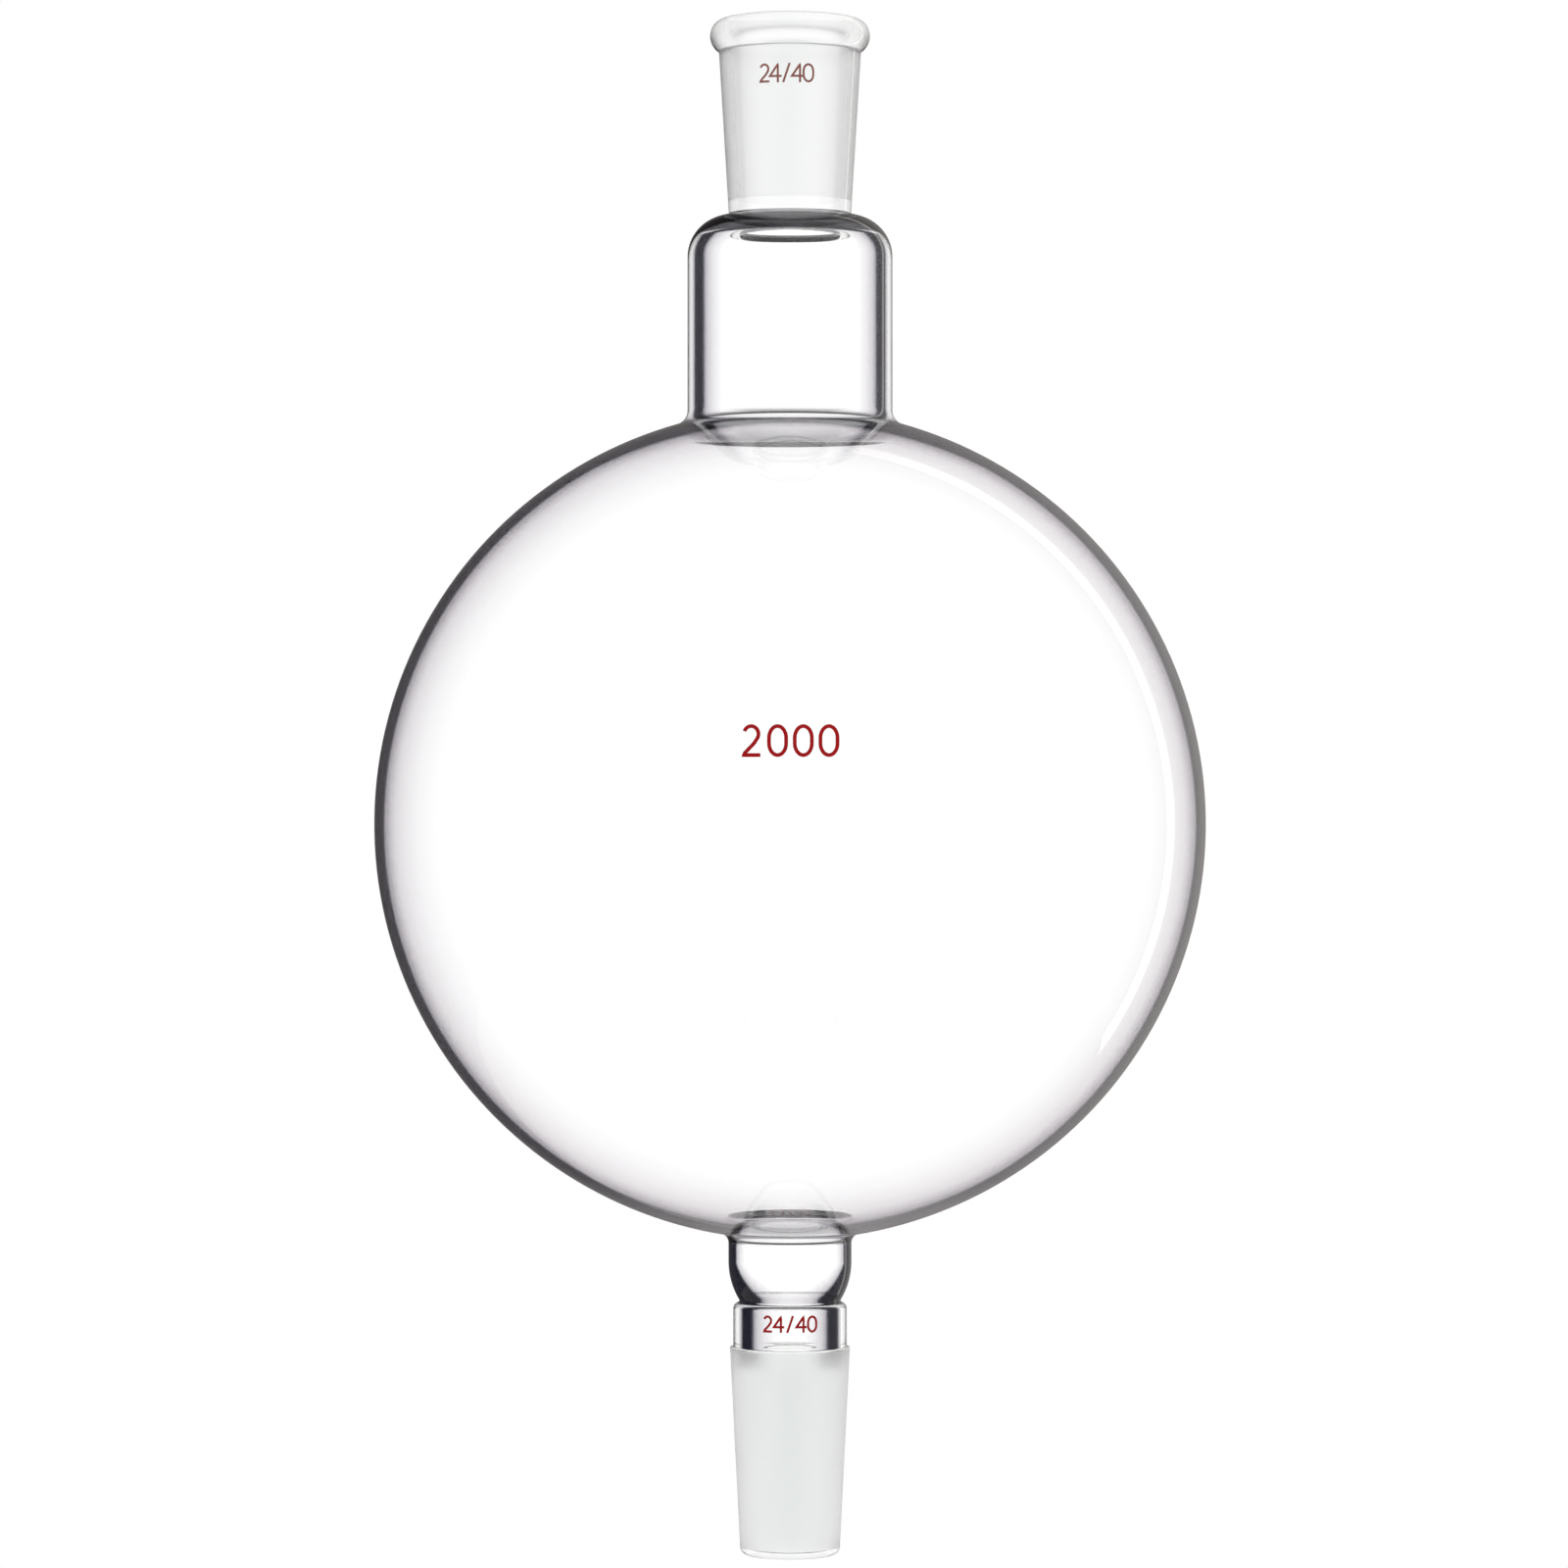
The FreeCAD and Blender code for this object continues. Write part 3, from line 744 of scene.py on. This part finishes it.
capacity = print_number(
    "capacity_number",
    "2000",
    tall=6.15,
    pitch=4.8,
    stroke_width=0.72,
    turn=0.0,
    level=CAPACITY_LEVEL,
    radius_at=globe_radius,
    material=red_enamel,
)
cone_size = print_number(
    "cone_size_number",
    "24/40",
    tall=3.35,
    pitch=2.25,
    stroke_width=0.46,
    turn=0.0,
    level=COLLAR_MARK_LEVEL,
    radius_at=lambda height: COLLAR,
    material=red_enamel,
)
socket_size = print_number(
    "socket_size_number",
    "24/40",
    tall=3.8,
    pitch=2.2,
    stroke_width=0.42,
    turn=-3.0,
    level=SOCKET_MARK_LEVEL,
    radius_at=socket_radius,
    material=faded_enamel,
)
print("numbers:", [len(piece.data.polygons) for piece in (capacity, cone_size, socket_size)], "faces")

# %% [markdown]
# A studio for glass
#
# Clear glass has no colour to light, so it is shown against white: here the sky itself is the white studio. The
# camera sees it white, and so does light that has passed through the glass. What the skin mirrors is another matter,
# because a white room in it would wash out the outline. Rays that bounce off the glass see grey, darker on the left
# and lighter on the right, with one bright strip behind on the right. It draws the long highlight beside the globe's
# right edge. A lamp of that shape would do the same, but it would light the ground glass as well.

# %% White all round, grey in the reflections
BEHIND_GLASS = 1.1
SOFT_LIGHT = 0.75
DARK_SIDE = -0.25
LIGHT_SIDE = 0.35
STRIP_LIGHT = 3.0
STRIP_PLACE = 0.63
STRIP_WIDTH = 0.035

world = bpy.data.worlds.new("white_studio")
scene.world = world
world.use_nodes = True
tree = world.node_tree
tree.nodes.clear()
plain = add(tree, "ShaderNodeBackground", {"Color": linear("FFFFFF"), "Strength": 1.0})[0]
soft = add(tree, "ShaderNodeBackground", {"Color": linear("FFFFFF"), "Strength": SOFT_LIGHT})[0]
way = add(tree, "ShaderNodeTexCoord")["Generated"]
to_right, to_back, _ = add(tree, "ShaderNodeSeparateXYZ", {0: way})
side = add(tree, "ShaderNodeMapRange", {"Value": to_right, "From Min": DARK_SIDE, "From Max": LIGHT_SIDE})[0]
walls = add(tree, "ShaderNodeMix", {"Factor": side, 6: linear("4E4A4C"), 7: linear("B6B2B0")}, data_type="RGBA")[2]
strip = add(tree, "ShaderNodeMath", {0: to_back, 1: STRIP_PLACE, 2: STRIP_WIDTH}, operation="COMPARE")[0]
strip = add(tree, "ShaderNodeMath", {0: strip, 1: side}, operation="MULTIPLY")[0]
strip = add(tree, "ShaderNodeMath", {0: strip, 1: STRIP_LIGHT, 2: 1.0}, operation="MULTIPLY_ADD")[0]
mirrored = add(tree, "ShaderNodeBackground", {"Color": walls, "Strength": strip})[0]
behind = add(tree, "ShaderNodeBackground", {"Color": linear("FFFFFF"), "Strength": BEHIND_GLASS})[0]
ray = add(tree, "ShaderNodeLightPath")
sky = add(tree, "ShaderNodeMixShader", {0: ray["Is Glossy Ray"], 1: soft, 2: mirrored})[0]
sky = add(tree, "ShaderNodeMixShader", {0: ray["Is Transmission Ray"], 1: sky, 2: behind})[0]
sky = add(tree, "ShaderNodeMixShader", {0: ray["Is Camera Ray"], 1: sky, 2: plain})[0]
add(tree, "ShaderNodeOutputWorld", {"Surface": sky})
print("studio:", len(tree.nodes), "nodes")

# %% [markdown]
# Floor and lamps
#
# The flask can't stand by itself: in use its cone sits in the head of a column or in another flask, high above the
# bench. So the pale floor lies far below it, out of the main view and clear of a look from below, and keeps only its
# soft shadow. Towards its edge the paper fades to the white of the studio, so that no horizon shows. Two large soft
# lamps shape the enamel and the ground glass.

# %% Floor
FLOOR_DROP = 900.0
FLOOR_RADIUS = 2000.0
FADE_FROM = 900.0
FADE_TO = 1960.0
PAPER_GLOW = 0.3
FLOOR_CORNERS = 96

ring = [math.tau * i / FLOOR_CORNERS for i in range(FLOOR_CORNERS)]
mesh = bpy.data.meshes.new("pale_floor")
mesh.from_pydata(
    [(FLOOR_RADIUS * MM * math.cos(a), FLOOR_RADIUS * MM * math.sin(a), (TIP - FLOOR_DROP) * MM) for a in ring],
    [],
    [list(range(FLOOR_CORNERS))],
)
floor = bpy.data.objects.new("pale_floor", mesh)
scene.collection.objects.link(floor)
paper, tree = new_material("white_paper")
paper_diffuse = add(tree, "ShaderNodeBsdfDiffuse", {"Color": linear("E8E8E8")})[0]
glow = add(tree, "ShaderNodeEmission", {"Color": linear("FFFFFF"), "Strength": PAPER_GLOW})[0]
lit = add(tree, "ShaderNodeAddShader", {0: paper_diffuse, 1: glow})[0]
plain = add(tree, "ShaderNodeEmission", {"Color": linear("FFFFFF"), "Strength": 1.0})[0]
place = add(tree, "ShaderNodeTexCoord")["Object"]
on_paper = add(tree, "ShaderNodeVectorMath", {0: place, 1: (1.0, 1.0, 0.0)}, operation="MULTIPLY")[0]
outwards = add(tree, "ShaderNodeVectorMath", {0: on_paper}, operation="LENGTH")["Value"]
fade = add(
    tree,
    "ShaderNodeMapRange",
    {"Value": outwards, "From Min": FADE_FROM * MM, "From Max": FADE_TO * MM},
    interpolation_type="SMOOTHSTEP",
)[0]
lit = add(tree, "ShaderNodeMixShader", {0: fade, 1: lit, 2: plain})[0]
mirrored = add(tree, "ShaderNodeEmission", {"Color": linear("A09C9A"), "Strength": 1.0})[0]
behind = add(tree, "ShaderNodeEmission", {"Color": linear("FFFFFF"), "Strength": BEHIND_GLASS})[0]
ray = add(tree, "ShaderNodeLightPath")
surface = add(tree, "ShaderNodeMixShader", {0: ray["Is Camera Ray"], 1: paper_diffuse, 2: lit})[0]
surface = add(tree, "ShaderNodeMixShader", {0: ray["Is Glossy Ray"], 1: surface, 2: mirrored})[0]
surface = add(tree, "ShaderNodeMixShader", {0: ray["Is Transmission Ray"], 1: surface, 2: behind})[0]
add(tree, "ShaderNodeOutputMaterial", {"Surface": surface})
paper.cycles.emission_sampling = "NONE"
mesh.materials.append(paper)
print(f"floor {FLOOR_DROP:.0f} mm below the tip")


# %% Lamps
def soft_lamp(name, watts, wide, tall, place):
    """A rectangular lamp that faces the middle of the flask, placed in millimetres."""
    lamp = bpy.data.lights.new(name, "AREA")
    lamp.shape = "RECTANGLE"
    lamp.size, lamp.size_y = wide * MM, tall * MM
    lamp.energy = watts
    holder = bpy.data.objects.new(name, lamp)
    scene.collection.objects.link(holder)
    holder.visible_glossy = holder.visible_transmission = False
    holder.location = [v * MM for v in place]
    aim = np.array([0.0, 0.0, GLOBE_CENTRE]) - np.array(place)
    tilt = math.atan2(math.hypot(aim[0], aim[1]), -aim[2])
    holder.rotation_euler = [tilt, 0.0, math.atan2(aim[0], -aim[1]) + math.pi]
    return holder


LAMP_WIDE = 600.0
LAMP_TALL = 900.0
key_lamp = soft_lamp("key_lamp", 6.0, LAMP_WIDE, LAMP_TALL, (-900.0, -900.0, 700.0))
fill_lamp = soft_lamp("fill_lamp", 3.0, LAMP_WIDE, LAMP_TALL, (1000.0, -700.0, 500.0))
print("lamps:", key_lamp.name, fill_lamp.name)

# %% [markdown]
# Camera
#
# The photograph looks straight at the flask, level with the middle of its globe, from a little over a metre away:
# the rings above that level bow upwards and those below it bow downwards.

# %% Camera
VIEW_WIDTH = 313.7
DISTANCE = 1200.0
EYE_LEVEL = 112.5
EYE_SHIFT = -1.2

camera = bpy.data.objects.new("camera", bpy.data.cameras.new("camera"))
scene.collection.objects.link(camera)
camera.data.sensor_width = 36.0
camera.data.lens = 36.0 * DISTANCE / VIEW_WIDTH
camera.data.clip_start, camera.data.clip_end = 0.05, 20.0
camera.location = (EYE_SHIFT * MM, -DISTANCE * MM, EYE_LEVEL * MM)
camera.rotation_euler = (math.pi / 2, 0.0, 0.0)
scene.camera = camera
scene.view_settings.view_transform = "Standard"
print(f"lens {camera.data.lens:.1f} mm at {DISTANCE:.0f} mm")
